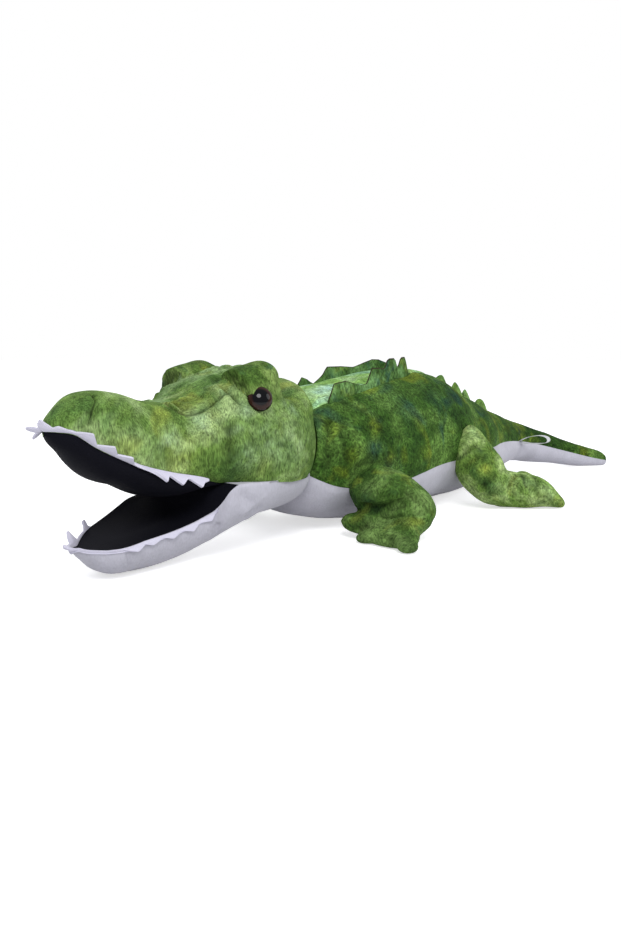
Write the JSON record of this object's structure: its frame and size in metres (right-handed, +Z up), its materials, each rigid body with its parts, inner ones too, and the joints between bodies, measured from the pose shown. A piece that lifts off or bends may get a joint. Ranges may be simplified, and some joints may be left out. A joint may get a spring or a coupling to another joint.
{
  "type": "stuffed_toy",
  "caption": "Plush crocodile lying on its belly, tie-dyed green back, white belly, open black mouth with white felt teeth and brown glossy eyes, about 1 m long",
  "frame": {"origin": "on the floor, under the flat of the belly", "axes": "+X towards the tail, -Y the animal's left side, +Z up"},
  "size_m": [0.9903, 0.3884, 0.1808],
  "materials": {
    "green_plush": "short-pile plush, tie-dyed in greens",
    "light_green_plush": "short-pile plush, lighter green",
    "dark_green_plush": "short-pile plush, dark green",
    "white_plush": "short-pile plush, cool white",
    "black_lining": "thin brushed cloth, matte",
    "white_felt": "pressed felt, matte",
    "brown_eye": "glossy, clear over brown",
    "washer_plastic": "moulded, matte",
    "polyester_fill": "loose fibre",
    "label_ribbon": "woven ribbon, blank"
  },
  "bodies": {
    "trunk": {"back_panel": "light_green_plush", "side_panel_left": "green_plush", "side_panel_right": "green_plush", "belly_panel": "white_plush", "body_stuffing": "polyester_fill", "scutes_left": "dark_green_plush", "scutes_right": "dark_green_plush", "tail_ridge": "dark_green_plush", "tail_label": "label_ribbon"},
    "head": {"nose_panel": "light_green_plush", "crown_panel": "light_green_plush", "cheek_panel_left": "green_plush", "cheek_panel_right": "green_plush", "throat_panel": "white_plush", "palate_lining": "black_lining", "head_stuffing": "polyester_fill", "brow_left": "light_green_plush", "brow_right": "light_green_plush", "eye_left": "brown_eye", "eye_right": "brown_eye", "eye_washer_left": "washer_plastic", "eye_washer_right": "washer_plastic", "upper_teeth": "white_felt"},
    "lower_jaw": {"jaw_panel": "white_plush", "jaw_lining": "black_lining", "jaw_stuffing": "polyester_fill", "lower_teeth": "white_felt"},
    "front_leg_left": {"front_leg_left_skin": "green_plush", "front_leg_left_stuffing": "polyester_fill"},
    "front_leg_right": {"front_leg_right_skin": "green_plush", "front_leg_right_stuffing": "polyester_fill"},
    "hind_leg_left": {"hind_leg_left_skin": "green_plush", "hind_leg_left_stuffing": "polyester_fill"},
    "hind_leg_right": {"hind_leg_right_skin": "green_plush", "hind_leg_right_stuffing": "polyester_fill"}
  },
  "joints": [
    {"name": "neck_turn", "type": "hinge", "parent": "trunk", "child": "head", "pos_m": [-0.215, 0, 0.102], "axis": [0, 0, 1], "range_deg": [-12, 12], "stiffness_Nm_per_rad": 0.5},
    {"name": "jaw_close", "type": "hinge", "parent": "head", "child": "lower_jaw", "pos_m": [-0.28, 0, 0.046], "axis": [0, 1, 0], "range_deg": [0, 15], "stiffness_Nm_per_rad": 0.08},
    {"name": "shoulder_left", "type": "hinge", "parent": "trunk", "child": "front_leg_left", "pos_m": [-0.118, -0.098, 0.05], "axis": [0, 0, 1], "range_deg": [0, 25], "stiffness_Nm_per_rad": 0.08},
    {"name": "shoulder_right", "type": "hinge", "parent": "trunk", "child": "front_leg_right", "pos_m": [-0.118, 0.098, 0.05], "axis": [0, 0, -1], "range_deg": [0, 25], "stiffness_Nm_per_rad": 0.08},
    {"name": "hip_left", "type": "hinge", "parent": "trunk", "child": "hind_leg_left", "pos_m": [0.105, -0.099, 0.052], "axis": [0, 0, 1], "range_deg": [-25, 25], "stiffness_Nm_per_rad": 0.08},
    {"name": "hip_right", "type": "hinge", "parent": "trunk", "child": "hind_leg_right", "pos_m": [0.105, 0.099, 0.052], "axis": [0, 0, -1], "range_deg": [-25, 25], "stiffness_Nm_per_rad": 0.08}
  ]
}
